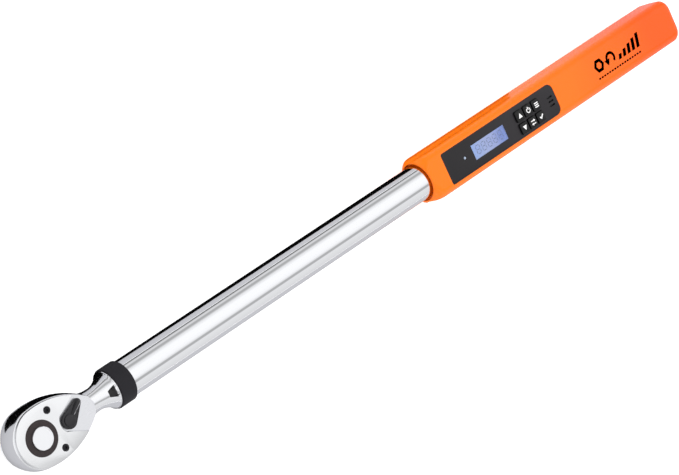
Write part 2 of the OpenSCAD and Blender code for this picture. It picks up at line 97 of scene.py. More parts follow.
def add_node(tree, kind, links=None, **settings):
    """Adds one node. Settings are its properties; links are socket values, or sockets to join on."""
    node = tree.nodes.new(kind)
    for name, value in settings.items():
        setattr(node, name, value)
    for name, value in (links or {}).items():
        socket = node.inputs[name]
        if isinstance(value, bpy.types.NodeSocket):
            tree.links.new(value, socket)
        else:
            socket.default_value = value
    return node


def calc(tree, how, a, b):
    """One sum on two values or sockets."""
    return add_node(tree, "ShaderNodeMath", {0: a, 1: b}, operation=how).outputs[0]


def ramp(tree, factor, stops):
    """A colour ramp whose stops are (place, colour)."""
    node = add_node(tree, "ShaderNodeValToRGB", {"Fac": factor})
    elements = node.color_ramp.elements
    while len(elements) < len(stops):
        elements.new(0.5)
    for element, (place, colour) in zip(elements, stops):
        element.position = place
        element.color = colour
    return node.outputs["Color"]


def in_mm(points):
    """Points given in millimetres, in metres."""
    return [(x * MM, y * MM) for x, y in points]


def middle_of(node):
    """The middle of a CAD node's box, seen from above."""
    low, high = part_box(node)
    return Vector(((low.x + high.x) / 2, (low.y + high.y) / 2))


# %% [markdown]
# ## Camera
# A long lens, about 131 mm on a 36 mm sensor, looks down on the tool from the drive end, so the tool runs
# from the lower left corner of the frame to the upper right.

# %% Camera
scene = bpy.context.scene
ahead = Vector((0.5624, -0.2139, -0.7987)).normalized()
upward = Vector((0.4599, 0.8837, 0.0871))
right = ahead.cross(upward).normalized()
upward = right.cross(ahead)
eye = Vector((-0.7078, 0.3770, 1.4242)) + right * 0.35 * MM - upward * 0.2 * MM
camera_data = bpy.data.cameras.new("studio_camera")
camera_data.lens = 131.4
camera_data.sensor_width = 36
camera_data.clip_end = 20
camera = bpy.data.objects.new("studio_camera", camera_data)
camera.matrix_world = Matrix.Translation(eye) @ Matrix((right, upward, -ahead)).transposed().to_4x4()
scene.collection.objects.link(camera)
scene.camera = camera
print("camera stands", round(eye.length, 3), "m from the drive")

# %% [markdown]
# ## Light
# A chrome bar mirrors a whole ring of the room around its axis. A light tent gives it broad white fields
# with a few narrow grey seams, which run along the tube as straight lines. The world is that tent: its
# brightness depends only on the angle around the tool. The camera itself sees a plain pale backdrop.

# %% The light tent
scene.view_settings.view_transform = "Standard"
world = bpy.data.worlds.new("light_tent")
scene.world = world
world.use_nodes = True
tent = world.node_tree
tent.nodes.clear()
place = add_node(tent, "ShaderNodeTexCoord")
split = add_node(tent, "ShaderNodeSeparateXYZ", {"Vector": place.outputs["Generated"]})
turn = calc(tent, "ARCTAN2", split.outputs["Y"], split.outputs["Z"])
part = add_node(tent, "ShaderNodeMapRange",
                {"Value": turn, "From Min": -math.pi, "From Max": math.pi})


def around(degrees):
    """Place on the ramp of an angle measured from straight up towards +Y."""
    return degrees / 360 + 0.5


def grey(level):
    return (level, level, level * 1.01, 1)


TENT_SEAMS = [
    (-180, 0.55), (-100, 0.55), (-86, 0.80), (-44, 0.88), (-39, 0.50), (-30, 0.46), (-24, 0.86), (-14, 1.06),
    (4, 1.12), (30, 1.12), (46, 0.90), (57, 0.45), (64, 0.48), (72, 0.82), (80, 0.66), (84, 0.16),
    (88, 0.16), (92, 0.55), (180, 0.55),
]
tone = ramp(tent, part.outputs["Result"], [(around(a), grey(v)) for a, v in TENT_SEAMS])
tent_light = add_node(tent, "ShaderNodeBackground", {"Color": tone, "Strength": 1.0})
backdrop = add_node(tent, "ShaderNodeBackground", {"Color": srgb("#F7F7F8"), "Strength": 1.0})
ray = add_node(tent, "ShaderNodeLightPath")
mixed = add_node(tent, "ShaderNodeMixShader",
                 {0: ray.outputs["Is Camera Ray"], 1: tent_light.outputs[0], 2: backdrop.outputs[0]})
add_node(tent, "ShaderNodeOutputWorld", {"Surface": mixed.outputs[0]})


# %% Softboxes
def softbox(name, place, aim, size, watts):
    """A soft rectangular lamp that points at aim."""
    data = bpy.data.lights.new(name, "AREA")
    data.shape = "RECTANGLE"
    data.size, data.size_y = size
    data.energy = watts
    lamp = bpy.data.objects.new(name, data)
    lamp.location = place
    lamp.rotation_euler = (Vector(aim) - Vector(place)).to_track_quat("-Z", "Y").to_euler()
    scene.collection.objects.link(lamp)
    lamp.visible_camera = False
    lamp.visible_glossy = False
    return lamp


middle = Vector(((cad_box[0][0] + cad_box[1][0]) / 2, 0, axis_z))
softbox("key_box", (0.2, 0.9, 1.3), middle, (1.6, 1.0), 9)
softbox("fill_box", (0.4, -1.1, 1.0), middle, (1.6, 1.0), 5)

# %% [markdown]
# ## Floor
# A plain pale sweep under the tool, with a little light of its own so that it stays near white. Two cards
# lie on it, as a photographer lays them: a grey sheet under everything and a long black strip beside the
# tool, for chrome needs something dark to mirror along one edge. Only reflections see the cards.

# %% Floor and cards
floor_z = cad_box[0][2]


def sheet_mesh(name, corners):
    mesh = bpy.data.meshes.new(name)
    mesh.from_pydata([Vector(c) for c in corners], [], [list(range(len(corners)))])
    piece = bpy.data.objects.new(name, mesh)
    scene.collection.objects.link(piece)
    return piece


def plain_material(name, colour, roughness, glow=0.0):
    """Studio surfaces only: nothing on the tool uses it."""
    material = bpy.data.materials.new(name)
    material.use_nodes = True
    shader = material.node_tree.nodes["Principled BSDF"]
    shader.inputs["Base Color"].default_value = colour
    shader.inputs["Roughness"].default_value = roughness
    shader.inputs["Specular IOR Level"].default_value = 0.0
    shader.inputs["Emission Color"].default_value = (1, 1, 1, 1)
    shader.inputs["Emission Strength"].default_value = glow
    return material


SPAN = 6.0
floor = sheet_mesh("floor", [(x * SPAN, y * SPAN, floor_z) for x, y in ((-1, -1), (1, -1), (1, 1), (-1, 1))])
floor.data.materials.append(plain_material("white_sweep", srgb("#F4F4F4"), 0.9, 0.45))


def mirror_card(name, colour, height, corners):
    """A flat card that only reflections see."""
    card = sheet_mesh(name, [(x * MM, y * MM, floor_z + height * MM) for x, y in corners])
    card.data.materials.append(plain_material(name + "_paper", srgb(colour), 0.9))
    card.visible_camera = False
    card.visible_diffuse = False
    card.visible_shadow = False


mirror_card("grey_card", "#BDBDC0", 0.3, [(-900, -900), (1500, -900), (1500, 900), (-900, 900)])
mirror_card("black_card", "#060606", 0.6, [
    (-25, 24), (20, 24), (36, 12), (66, 12), (66, 5), (375, 5), (375, 17), (508, 17), (508, 78), (66, 40),
    (66, 80), (-25, 80)])

# %% [markdown]
# ## Finishes
# Every finish starts as one Principled shader whose constants sit on its own sockets, and a pattern in
# object coordinates that carries the marks of the process.

# %% A blank finish
def finish(name, colour, roughness, metallic=0.0, **sockets):
    """A new material with one Principled shader. Returns the material, its tree, shader and coordinates."""
    material = bpy.data.materials.new(name)
    material.use_nodes = True
    tree = material.node_tree
    shader = tree.nodes["Principled BSDF"]
    shader.inputs["Base Color"].default_value = srgb(colour)
    shader.inputs["Roughness"].default_value = roughness
    shader.inputs["Metallic"].default_value = metallic
    for socket, value in sockets.items():
        shader.inputs[socket.replace("_", " ")].default_value = value
    place = add_node(tree, "ShaderNodeTexCoord").outputs["Object"]
    return material, tree, shader, place


def noise(tree, place, size, detail):
    """A noise whose features are about size millimetres across."""
    node = add_node(tree, "ShaderNodeTexNoise", {"Vector": place, "Scale": 1 / (size * MM), "Detail": detail})
    return node.outputs["Fac"]


def stretched(tree, place, scale):
    return add_node(tree, "ShaderNodeMapping", {"Vector": place, "Scale": scale}).outputs[0]


def add_tint(tree, shader, factor, stops, socket="Base Color"):
    """A colour that follows a pattern. Stops are (place, hex colour)."""
    tint = ramp(tree, factor, [(place, srgb(code)) for place, code in stops])
    tree.links.new(tint, shader.inputs[socket])


def add_relief(tree, shader, height, depth, strength):
    """Joins a height pattern to the shader's normal; its depth is in millimetres."""
    bump = add_node(tree, "ShaderNodeBump", {"Height": height, "Distance": depth * MM, "Strength": strength})
    tree.links.new(bump.outputs["Normal"], shader.inputs["Normal"])


def add_spread(tree, shader, factor, low, high):
    """Roughness that wanders between two values."""
    spread = add_node(tree, "ShaderNodeMapRange", {"Value": factor, "To Min": low, "To Max": high})
    tree.links.new(spread.outputs["Result"], shader.inputs["Roughness"])


def grained(name, colour, roughness, stops, size, detail, spread=None, relief=None, **sockets):
    """A finish whose tint, and roughness and relief if asked, all follow one fine grain."""
    material, tree, shader, place = finish(name, colour, roughness, **sockets)
    grain = noise(tree, place, size, detail)
    add_tint(tree, shader, grain, stops)
    if spread:
        add_spread(tree, shader, grain, *spread)
    if relief:
        add_relief(tree, shader, grain, *relief)
    return material


# %% [markdown]
# ### Chrome
# Decorative chrome over polished nickel. The forging keeps a faint orange peel from hand polishing, and the
# drawn tube keeps long polishing lines along its length; both show only as a slight waver in what they
# mirror. The cover plate is ground or milled flat before plating, which gives a finer, paler gloss.

# %% Chrome plate
def polished_chrome(name, scale, peel, low, high):
    material, tree, shader, place = finish(name, "#F0F1F3", 0.05, metallic=1.0)
    lay = stretched(tree, place, scale)
    add_spread(tree, shader, noise(tree, lay, 6, 3.0), low, high)
    add_relief(tree, shader, noise(tree, lay, 3, 1.0), 0.02, peel)
    return material


def satin_chrome(name, tint, low, high):
    material, tree, shader, place = finish(name, tint, low, metallic=1.0)
    grain = noise(tree, stretched(tree, place, (0.08, 1, 1)), 0.5, 4.0)
    add_spread(tree, shader, grain, low, high)
    add_relief(tree, shader, grain, 0.01, 0.15)
    return material


forged_chrome = polished_chrome("polished_chrome_forging", (1, 1, 1), 0.10, 0.08, 0.16)
tube_chrome = polished_chrome("polished_chrome_tube", (0.06, 1, 1), 0.04, 0.02, 0.10)
cover_chrome = satin_chrome("satin_chrome_cover", "#EEEFF0", 0.14, 0.30)
# The recess is tinted a shade darker than the plate: painted shade that outlines the lever's sector. Its
# rougher gloss is the milled finish.
recess_painted_shade = satin_chrome("milled_recess_painted_shade", "#E6E7EA", 0.22, 0.36)

# %% [markdown]
# ### Dark steels
# The gear is phosphated, a matte brown-black crystal coat that holds oil. The screws and the small parts
# are blackened in hot oxide, which is smoother and bluer. Springs, pins and the ball are left ground bright.


# %% Phosphated, blackened and ground steel
def coated_steel(name, dark, pale, crystal, low, high, metallic):
    return grained(name, dark, low, [(0.35, dark), (0.7, pale)], crystal, 5.0, (low, high), (0.02, 0.25),
                   metallic=metallic)


phosphate = coated_steel("phosphated_steel", "#2F292A", "#453D3D", 0.6, 0.38, 0.6, 0.55)
black_oxide = coated_steel("black_oxide_steel", "#1B1B1E", "#2D2D31", 0.8, 0.28, 0.45, 0.7)
ground_steel = coated_steel("ground_steel", "#B9BABD", "#DADBDD", 1.2, 0.16, 0.3, 1.0)
# A bright metal for the painted highlight along one side of the lever's ridge.
ridge_highlight_metal = coated_steel("painted_ridge_highlight", "#C9C9CC", "#E8E8EA", 0.4, 0.2, 0.4, 1.0)
foil = coated_steel("gauge_foil", "#9A7434", "#B98F48", 0.5, 0.25, 0.4, 0.8)

# %% [markdown]
# ### Black lever and collar
# The lever is a zinc casting under satin black paint, with a bright painted highlight along one side of its
# thumb ridge. The collar ring is moulded nitrile rubber: very rough, almost no highlight, with a fine grain
# from the mould.


# %% Painted casting and moulded rubber
def moulded_rubber(name, dark, pale):
    return grained(name, dark, 0.7, [(0.3, dark), (0.75, pale)], 0.7, 6.0, (0.55, 0.8), (0.05, 0.4), IOR=1.5,
                   Specular_IOR_Level=0.35)


lever_paint = grained("satin_painted_zinc", "#131215", 0.25, [(0.3, "#0E0D10"), (0.75, "#1B1A1E")], 0.35, 3.0,
                      (0.18, 0.34), (0.03, 0.2), IOR=1.5)
ring_rubber = moulded_rubber("moulded_nitrile_rubber", "#111014", "#1E1D23")
mat_rubber = moulded_rubber("silicone_key_mat", "#3B3C40", "#4A4B50")
insulation = moulded_rubber("red_insulation", "#7B1414", "#971B1B")

# %% [markdown]
# ### Mouldings
# Glossy ABS, coloured through. The orange housing was filled from its front end, and the pigment drifts from
# yellow-orange there to a redder orange at the butt. A slow ripple from the mould breaks up the highlights.


# %% Moulded ABS
def plastic(name, colour, roughness, low, high, peel, sheen):
    """ABS with scuffs in its gloss and a ripple from its mould, still of one colour."""
    material, tree, shader, place = finish(name, colour, roughness, IOR=1.53, Specular_IOR_Level=sheen)
    add_spread(tree, shader, noise(tree, place, 2.5, 6.0), low, high)
    add_relief(tree, shader, noise(tree, place, 1.4, 2.0), 0.03, peel)
    return material, tree, shader, place, noise(tree, place, 55, 2.0)


def moulded_abs(name, deep, body, pale, low, high, peel, sheen=0.5):
    material, tree, shader, place, cloud = plastic(name, body, low, low, high, peel, sheen)
    add_tint(tree, shader, cloud, [(0.3, deep), (0.5, body), (0.7, pale)])
    return material


def drift_along(tree, place, low, high, cloud, share):
    """Runs from 0 to 1 between two boxes' ends along X, stirred by a share of a noise."""
    x = add_node(tree, "ShaderNodeSeparateXYZ", {"Vector": place}).outputs["X"]
    along = add_node(tree, "ShaderNodeMapRange", {"Value": x, "From Min": low.x, "From Max": high.x})
    return calc(tree, "ADD", along.outputs["Result"], calc(tree, "MULTIPLY", cloud, share))


def orange_moulding():
    """Orange ABS whose hue drifts along the handle."""
    material, tree, shader, place, cloud = plastic("glossy_orange_abs", "#FF6208", 0.2, 0.14, 0.28, 0.08, 0.3)
    add_tint(tree, shader, drift_along(tree, place, handle_low, handle_high, cloud, 0.2),
             [(0.05, "#FF7808"), (0.4, "#FF780E"), (0.65, "#FF7210"), (1.05, "#FF5A0E")])
    return material


orange_abs = orange_moulding()
charcoal_abs = moulded_abs("satin_charcoal_abs", "#171417", "#1B181C", "#211E22", 0.26, 0.38, 0.3, 0.34)
gloss_black = moulded_abs("glossy_black_key", "#040405", "#060607", "#0A0A0B", 0.10, 0.2, 0.12, 0.3)
tray_abs = moulded_abs("matte_black_tray", "#1A1A1B", "#202022", "#262628", 0.5, 0.65, 0.3)
board_mask = moulded_abs("green_solder_mask", "#0B3B1E", "#0F4724", "#14552C", 0.3, 0.4, 0.1)
sleeve = moulded_abs("printed_cell_sleeve", "#8A5A12", "#9B6716", "#AD751B", 0.25, 0.35, 0.05)

# %% [markdown]
# ### Printing, glass and the lit display
# Inks are thin and a little rough. The display is a lit panel behind a clear window: bluer at both ends and
# greyer in its middle, as an edge-lit panel is.


# %% Inks, window, display
def printed_ink(name, colour, pale):
    return grained(name, colour, 0.45, [(0.3, colour), (0.8, pale)], 0.3, 3.0, IOR=1.5)


def lit_panel():
    material, tree, shader, place = finish("edge_lit_display", "#3F4868", 0.4, Emission_Strength=0.85)
    drift = drift_along(tree, place, *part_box("lcd_window"), noise(tree, place, 3, 4.0), 0.25)
    stops = [(0.0, "#88AEE6"), (0.5, "#A3B2D6"), (0.8, "#9BA9D4"), (1.1, "#6E88C8")]
    add_tint(tree, shader, drift, stops, "Emission Color")
    return material


def clear_window():
    material, tree, shader, place = finish("clear_acrylic_window", "#F4F6FF", 0.03, IOR=1.49,
                                           Transmission_Weight=1.0)
    add_spread(tree, shader, noise(tree, place, 5, 4.0), 0.0, 0.06)
    return material


white_ink = printed_ink("white_pad_print", "#F3F3F1", "#FFFFFF")
black_ink = printed_ink("black_pad_print", "#161311", "#221E1B")
ghost_ink = printed_ink("unlit_segments", "#6B7AA6", "#7483AE")
lens_blue = printed_ink("diffusing_lens", "#8FA0B8", "#C9D4E6")
# Black for the patch on the flare: a painted dark reflection on the chrome.
reflection_black = printed_ink("painted_reflection_black", "#0A0A0B", "#151517")
display = lit_panel()
window = clear_window()

# %% Put the finishes on the CAD pieces
WEARS = {
    tube_chrome: ["tube"],
    forged_chrome: ["release_button"],
    phosphate: ["drive_gear", "pawl"],
    ground_steel: ["detent_ball", "lever_clip", "pawl_plunger", "plunger_spring", "shank_pins",
                   "board_screws", "battery_springs", "battery_contacts"],
    ring_rubber: ["collar_ring"],
    window: ["lcd_window"],
    display: ["lcd_module"],
    board_mask: ["circuit_board"],
    mat_rubber: ["key_mat"],
    lens_blue: ["status_led"],
    tray_abs: ["buzzer", "battery_tray"],
    sleeve: ["batteries"],
    foil: ["strain_gauges"],
    insulation: ["gauge_cable", "battery_leads"],
}
for material, names in WEARS.items():
    for name in names:
        for slot in nodes[name].material_slots:
            slot.material = material
print("dressed", sum(len(names) for names in WEARS.values()), "CAD pieces")

# %% [markdown]
# ## Mesh helpers
# Three small makers cover the rest: a turned piece from its profile, a straight prism from its outline, and
# a cut or join of two closed pieces. Each gives a closed mesh whose object stays at the origin.


# %% Makers
def new_piece(name, mesh_data, material, sharp=30):
    """Turns a bmesh into an object, smooth except at edges sharper than the angle."""
    bmesh.ops.remove_doubles(mesh_data, verts=mesh_data.verts, dist=1e-7)
    bmesh.ops.recalc_face_normals(mesh_data, faces=mesh_data.faces)
    mesh = bpy.data.meshes.new(name)
    mesh_data.to_mesh(mesh)
    mesh_data.free()
    mesh.materials.append(material)
    soften(mesh, sharp)
    piece = bpy.data.objects.new(name, mesh)
    scene.collection.objects.link(piece)
    return piece


def soften(mesh, sharp):
    """Smooth shading, with sharp edges above an angle in degrees."""
    mesh.shade_smooth()
    mesh.set_sharp_from_angle(angle=math.radians(sharp))


def skin(rings, closed_ends=True, data=None):
    """Joins rings of points, in a new bmesh or in the one given."""
    data = data or bmesh.new()
    rows = [[data.verts.new(p) for p in ring] for ring in rings]
    count = len(rows[0])
    for a, b in zip(rows, rows[1:]):
        for i in range(count):
            j = (i + 1) % count
            data.faces.new((a[i], a[j], b[j], b[i]))
    if closed_ends:
        data.faces.new(rows[0])
        data.faces.new(rows[-1])
    return data


def prism(name, outline, low, high, material, bevel=0.0, segments=3):
    """A straight solid over an outline in X and Y, in metres, with its top edge rounded if asked."""
    data = skin([[Vector((x, y, z)) for x, y in outline] for z in (low, high)])
    if bevel:
        data.normal_update()
        rim = [e for e in data.edges if all(abs(v.co.z - high) < 1e-9 for v in e.verts)]
        bmesh.ops.bevel(data, geom=rim, offset=bevel, segments=segments, profile=0.5, affect="EDGES")
    return new_piece(name, data, material)


def turned(name, profile, material, along="Z", centre=(0, 0, 0), steps=96, sharp=30):
    """A turned solid. The profile is (radius, height) along the axis, and starts and ends on it."""
    centre = Vector(centre)
    rings = []
    for radius, height in profile:
        ring = []
        for i in range(steps):
            a = 2 * math.pi * i / steps
            spoke = (radius * math.cos(a), radius * math.sin(a))
            point = Vector((*spoke, height)) if along == "Z" else Vector((height, *spoke))
            ring.append(centre + point)
        rings.append(ring)
    return new_piece(name, skin(rings), material, sharp)


def settle(piece, sharp=30):
    """Bakes a piece's modifiers into a plain mesh."""
    bpy.context.view_layer.update()
    source = piece.evaluated_get(bpy.context.evaluated_depsgraph_get())
    mesh = bpy.data.meshes.new_from_object(source)
    piece.modifiers.clear()
    piece.data = mesh
    if sharp:
        soften(mesh, sharp)
    return piece


def combine(piece, tool, how, sharp=30):
    """Cuts, joins or crosses two closed pieces. how is DIFFERENCE, UNION or INTERSECT."""
    step = piece.modifiers.new(how.lower(), "BOOLEAN")
    step.operation = how
    step.solver = "EXACT"
    step.object = tool
    settle(piece, sharp)
    bpy.data.objects.remove(tool)
    return piece


def cut(piece, tool, sharp=30):
    return combine(piece, tool, "DIFFERENCE", sharp)


def bore(piece, outline, low, high, sharp=30):
    """Cuts a straight hole of an outline, between two heights."""
    return cut(piece, prism("tool", outline, low, high, piece.data.materials[0]), sharp)


def dress(piece, body, slot, *stands_for):
    """Hangs a finished piece on its body's empty and hides the CAD nodes that it stands for."""
    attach(piece, body)
    if stands_for:
        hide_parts(*stands_for)
    print(f"{piece.name}: {len(piece.data.polygons)} faces, rides on {body}")
    return piece


# %% [markdown]
# ## The forged head
# Seen from above the head is a pear: a round nose and two long side arcs that run to a small round tip. A
# forging is widest at its belly and draws in towards both faces, so the pear is repeated at many heights,
# each a little larger or smaller, and the rings are skinned. The neck is turned about the tool's axis.

# %% Pear outline
NOSE = 1.6 * MM
SIDE_RADIUS = 58 * MM
SIDE_CENTRE = Vector((5.8 * MM, 37.4 * MM))
TIP_CENTRE = Vector((33.6 * MM, 0))
TIP_RADIUS = 12 * MM
HUB = Vector((12 * MM, 0))


def leave_circle(start, way, centre, radius):
    """Distance along a ray to where it leaves a circle."""
    to = start - centre
    b = to.dot(way)
    return -b + math.sqrt(max(b * b - to.dot(to) + radius * radius, 0))


def pear(nose_x, grow, count=180):
    """Points of the pear outline, grown outwards by grow."""
    side = SIDE_RADIUS + grow
    nose = Vector((nose_x, 0))
    nose_radius = side - (SIDE_CENTRE - nose).length
    points = []
    for i in range(count):
        a = 2 * math.pi * i / count
        way = Vector((math.cos(a), math.sin(a)))
        far = Vector((SIDE_CENTRE.x, -math.copysign(SIDE_CENTRE.y, way.y)))
        point = HUB + way * leave_circle(HUB, way, far, side)
        if point.x > TIP_CENTRE.x + 3 * MM and (point - TIP_CENTRE).length > TIP_RADIUS + grow:
            point = HUB + way * leave_circle(HUB, way, TIP_CENTRE, TIP_RADIUS + grow)
        if point.x < nose_x:
            point = HUB + way * leave_circle(HUB, way, nose, nose_radius)
        points.append(point)
    return points


# %% Head and neck
seat_z = plate_low.z
base_z = 0.8 * MM
low_edge = 2.6 * MM
lip = 0.35 * MM


def belly(z):
    """How far the head stands proud of the cover's outline at a height."""
    low = base_z + low_edge
    t = min(max((z - low) / (seat_z - low), 0), 1)
    grow = (0.5 + 1.12 * math.sin(math.pi * t) ** 0.8 - 0.25 * t) * MM
    if z < low:
        u = (low - z) / low_edge
        grow -= low_edge * (1 - math.sqrt(max(1 - u * u, 0))) * 0.9
    if z > seat_z - lip:
        u = (z - seat_z + lip) / lip
        grow -= lip * (1 - math.sqrt(max(1 - u * u, 0)))
    return grow


heights = [base_z + low_edge * (1 - math.cos(math.pi / 2 * i / 7)) for i in range(7)]
heights += [base_z + low_edge + (seat_z - 0.4 * MM - base_z - low_edge) * i / 18 for i in range(19)]
heights += [seat_z - lip * (1 - math.sin(math.pi / 2 * i / 4)) for i in range(1, 5)]
head_rings = [[Vector((*p, z)) for p in pear(NOSE - 0.7 * MM, belly(z))] for z in heights]
head = new_piece("head_forging", skin(head_rings), forged_chrome)

NECK_RADIUS = 8.4 * MM
NECK_END = 51 * MM
FLARE_ARC = 17 * MM
FLARE_RADIUS = 14 * MM
NECK_SWELL = 0.018 / MM
SHANK_START = tube_low.x


def neck_radius(x, sink=0.0):
    """Radius of the neck and flare at a station; sink goes below the surface."""
    if x < NECK_END:
        return NECK_RADIUS + NECK_SWELL * (NECK_END - x) ** 2 - sink
    arc = NECK_RADIUS + FLARE_ARC - math.sqrt((FLARE_ARC + sink) ** 2 - (x - NECK_END) ** 2)
    return min(arc, FLARE_RADIUS)


stations = [(34 + 0.75 * i) * MM for i in range(41)]
neck_profile = [(0, stations[0])] + [(neck_radius(x), x) for x in stations]
PLUG_RADIUS = 12 * MM
PLUG_END = SHANK_START + 14 * MM
step_in = 0.25 * MM
neck_profile += [(FLARE_RADIUS - step_in, SHANK_START - 1.15 * MM), (FLARE_RADIUS, SHANK_START - 0.95 * MM),
                 (FLARE_RADIUS, SHANK_START - step_in), (FLARE_RADIUS - step_in, SHANK_START),
                 (PLUG_RADIUS, SHANK_START), (PLUG_RADIUS, PLUG_END), (0, PLUG_END)]
neck = turned("neck", neck_profile, forged_chrome, along="X", centre=(0, 0, axis_z), steps=144)
combine(head, neck, "UNION")

# %% [markdown]
# The seat of the cover, the gear's pocket, the bore of its hub, the pawl's room and a small trapezoid on
# the flare are cut out of the joined forging in this order. The trapezoid is then filled with black, a
# painted dark reflection.

# %% Machining the head
gear_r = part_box("drive_gear")[1].x
cover_outline = pear(NOSE, 0)
bore(head, cover_outline, seat_z, seat_z + 10 * MM)


def disc(centre, radius, count=96):
    """A circle's points."""
    turn_step = 2 * math.pi / count
    return [(centre[0] + radius * math.cos(i * turn_step), centre[1] + radius * math.sin(i * turn_step))
            for i in range(count)]


spindle_x = 23.1 * MM
bore(head, disc((0, 0), gear_r + 0.6 * MM), 4 * MM, seat_z + MM)
bore(head, disc((0, 0), 11.56 * MM), -MM, 5 * MM)
pawl_room = in_mm([(0, -8), (14, -12), (19, -11), (28.5, -4), (28.5, 4), (19, 11), (14, 12), (0, 8)])
bore(head, pawl_room, 3 * MM, seat_z + MM)

PATCH_DEPTH = 0.8 * MM
patch_outline = in_mm([(58, -2.6), (62.6, -4.5), (62.6, 4.1), (58, 1.8)])


def flare_patch(name, sink, material):
    """The trapezoid above the flare, standing on the flare's curve sunk by sink."""
    wedge = prism(name, patch_outline, axis_z + NECK_RADIUS, axis_z + 18 * MM, material)
    places = [NECK_END + i * MM * 0.75 for i in range(18)]
    profile = [(0, NECK_END)] + [(neck_radius(x, sink), x) for x in places] + [(0, places[-1])]
    return cut(wedge, turned("core", profile, material, along="X", centre=(0, 0, axis_z), steps=144))


cut(head, flare_patch("flare_patch_cut", PATCH_DEPTH, forged_chrome))
# The black fill in the flare's pocket is a painted dark reflection.
reflection_patch = flare_patch("flare_painted_reflection", PATCH_DEPTH, reflection_black)
cut(reflection_patch, flare_patch("above", PATCH_DEPTH * 0.35, reflection_black))
dress(head, "wrench", "head_chrome", "ratchet_head")
dress(reflection_patch, "wrench", "lever_black")

# %% [markdown]
# ## Cover plate
# A flat pear of ground and plated steel. It has a hole for the gear's collar, a bore for the lever's
# spindle, two counterbores and a shallow sector in which the lever swings.

# %% Cover plate
cover = prism("cover_plate_ground", cover_outline, seat_z, face_z, cover_chrome, bevel=0.55 * MM, segments=4)
collar_r = 12.21 * MM
spindle_r = 3.06 * MM
bore(cover, disc((0, 0), collar_r, 128), seat_z - MM, face_z + MM)
bore(cover, disc((spindle_x, 0), spindle_r, 64), seat_z - MM, face_z + MM)
pocket_z = face_z - 0.8 * MM
SECTOR_SLOPE = 0.52
sector_start = -SECTOR_SLOPE * 6 * MM
sector_end = 30 * MM


def sector(grow):
    """Outline of the lever's sector, grown outwards."""
    half = 7.6 * MM + grow
    root_y = half + SECTOR_SLOPE * sector_start
    far_y = half + SECTOR_SLOPE * sector_end
    root_x = spindle_x + sector_start
    far_x = spindle_x + sector_end
    bow = 3.2 * MM + grow
    turns = [math.pi * (0.5 - i / 12) for i in range(1, 12)]
    return ([(root_x, root_y), (far_x, far_y), (far_x, -far_y), (root_x, -root_y)]
            + [(root_x - bow * math.cos(a), -root_y * math.sin(a)) for a in turns])


draft = 0.45 * MM
walls = [(sector(0), pocket_z), (sector(draft), face_z), (sector(draft), face_z + MM)]
recess = new_piece("recess", skin([[Vector((*p, z)) for p in outline] for outline, z in walls]), cover_chrome)
cut(cover, recess)
# Floor and walls of the recess take the darker chrome, painted shade along the sector.
cover.data.materials.append(recess_painted_shade)
for face in cover.data.polygons:
    spot = face.center
    if pocket_z - 0.1 * MM < spot.z < face_z - 0.05 * MM and spot.x > 15 * MM and face.normal.z > 0.2:
        face.material_index = 1
screw_x = middle_of("cover_screws").x
screw_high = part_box("cover_screws")[1]
screw_y = screw_high.y - 2.6 * MM
for side in (-1, 1):
    bore(cover, disc((screw_x, side * screw_y), 2.7 * MM, 48), face_z - 1.7 * MM, face_z + MM)
dress(cover, "wrench", "plate_chrome", "cover_plate")

# %% [markdown]
# ## Reversing lever
# A teardrop casting: a round boss over the spindle, a flat body and a thumb ridge that grows towards the
# tip. It is drawn pointing along +X, then turned to the angle at which it rests.

# %% Lever
LEVER_ANGLE = math.radians(34.6)
lever_floor = pocket_z + 0.2 * MM
boss_r = 5.8 * MM
tip_r = 2.8 * MM
lever_len = 16 * MM


def teardrop(wide, narrow, length, count=20):
    """Outline of two circles joined by their outer tangents."""
    gap = length - narrow
    lean = math.asin((wide - narrow) / gap)
    start = math.pi / 2 - lean
    points = []
    for i in range(count * 2 + 1):
        a = start + (2 * math.pi - 2 * start) * i / (2 * count)
        points.append((wide * math.cos(a), wide * math.sin(a)))
    for i in range(count + 1):
        a = -start + 2 * start * i / count
        points.append((gap + narrow * math.cos(a), narrow * math.sin(a)))
    return points


lever = prism("thumb_lever", teardrop(boss_r, tip_r, lever_len), lever_floor, lever_floor + 2.3 * MM,
              lever_paint, bevel=0.6 * MM, segments=3)
boss = prism("boss", disc((0, 0), 4.3 * MM, 64), lever_floor + MM, lever_floor + 3.3 * MM, lever_paint,
             bevel=0.7 * MM, segments=4)
combine(lever, boss, "UNION")
# Slot 1 holds the ridge's bright painted highlight.
lever.data.materials.append(ridge_highlight_metal)
RIDGE = [(2.6, 1.1, 2.6), (5.0, 1.25, 3.1), (8.0, 1.4, 3.6), (11.0, 1.55, 4.0), (13.4, 1.6, 4.2),
         (14.3, 1.5, 4.0), (14.7, 1.2, 3.5)]
ridge_rings = []
highlight_bevel = 0.8
for x, half_width, top in RIDGE:
    section = [(-half_width - 0.8, 1.5), (-half_width - 0.25, 2.4), (-half_width, top - highlight_bevel),
               (-half_width + highlight_bevel, top), (half_width - 0.35, top), (half_width, top - 0.35),
               (half_width + 0.25, 2.4), (half_width + 0.8, 1.5)]
    ridge_rings.append([Vector((x * MM, y * MM, lever_floor + z * MM)) for y, z in section])
ridge = new_piece("ridge", skin(ridge_rings), lever_paint)
ridge.data.materials.append(ridge_highlight_metal)
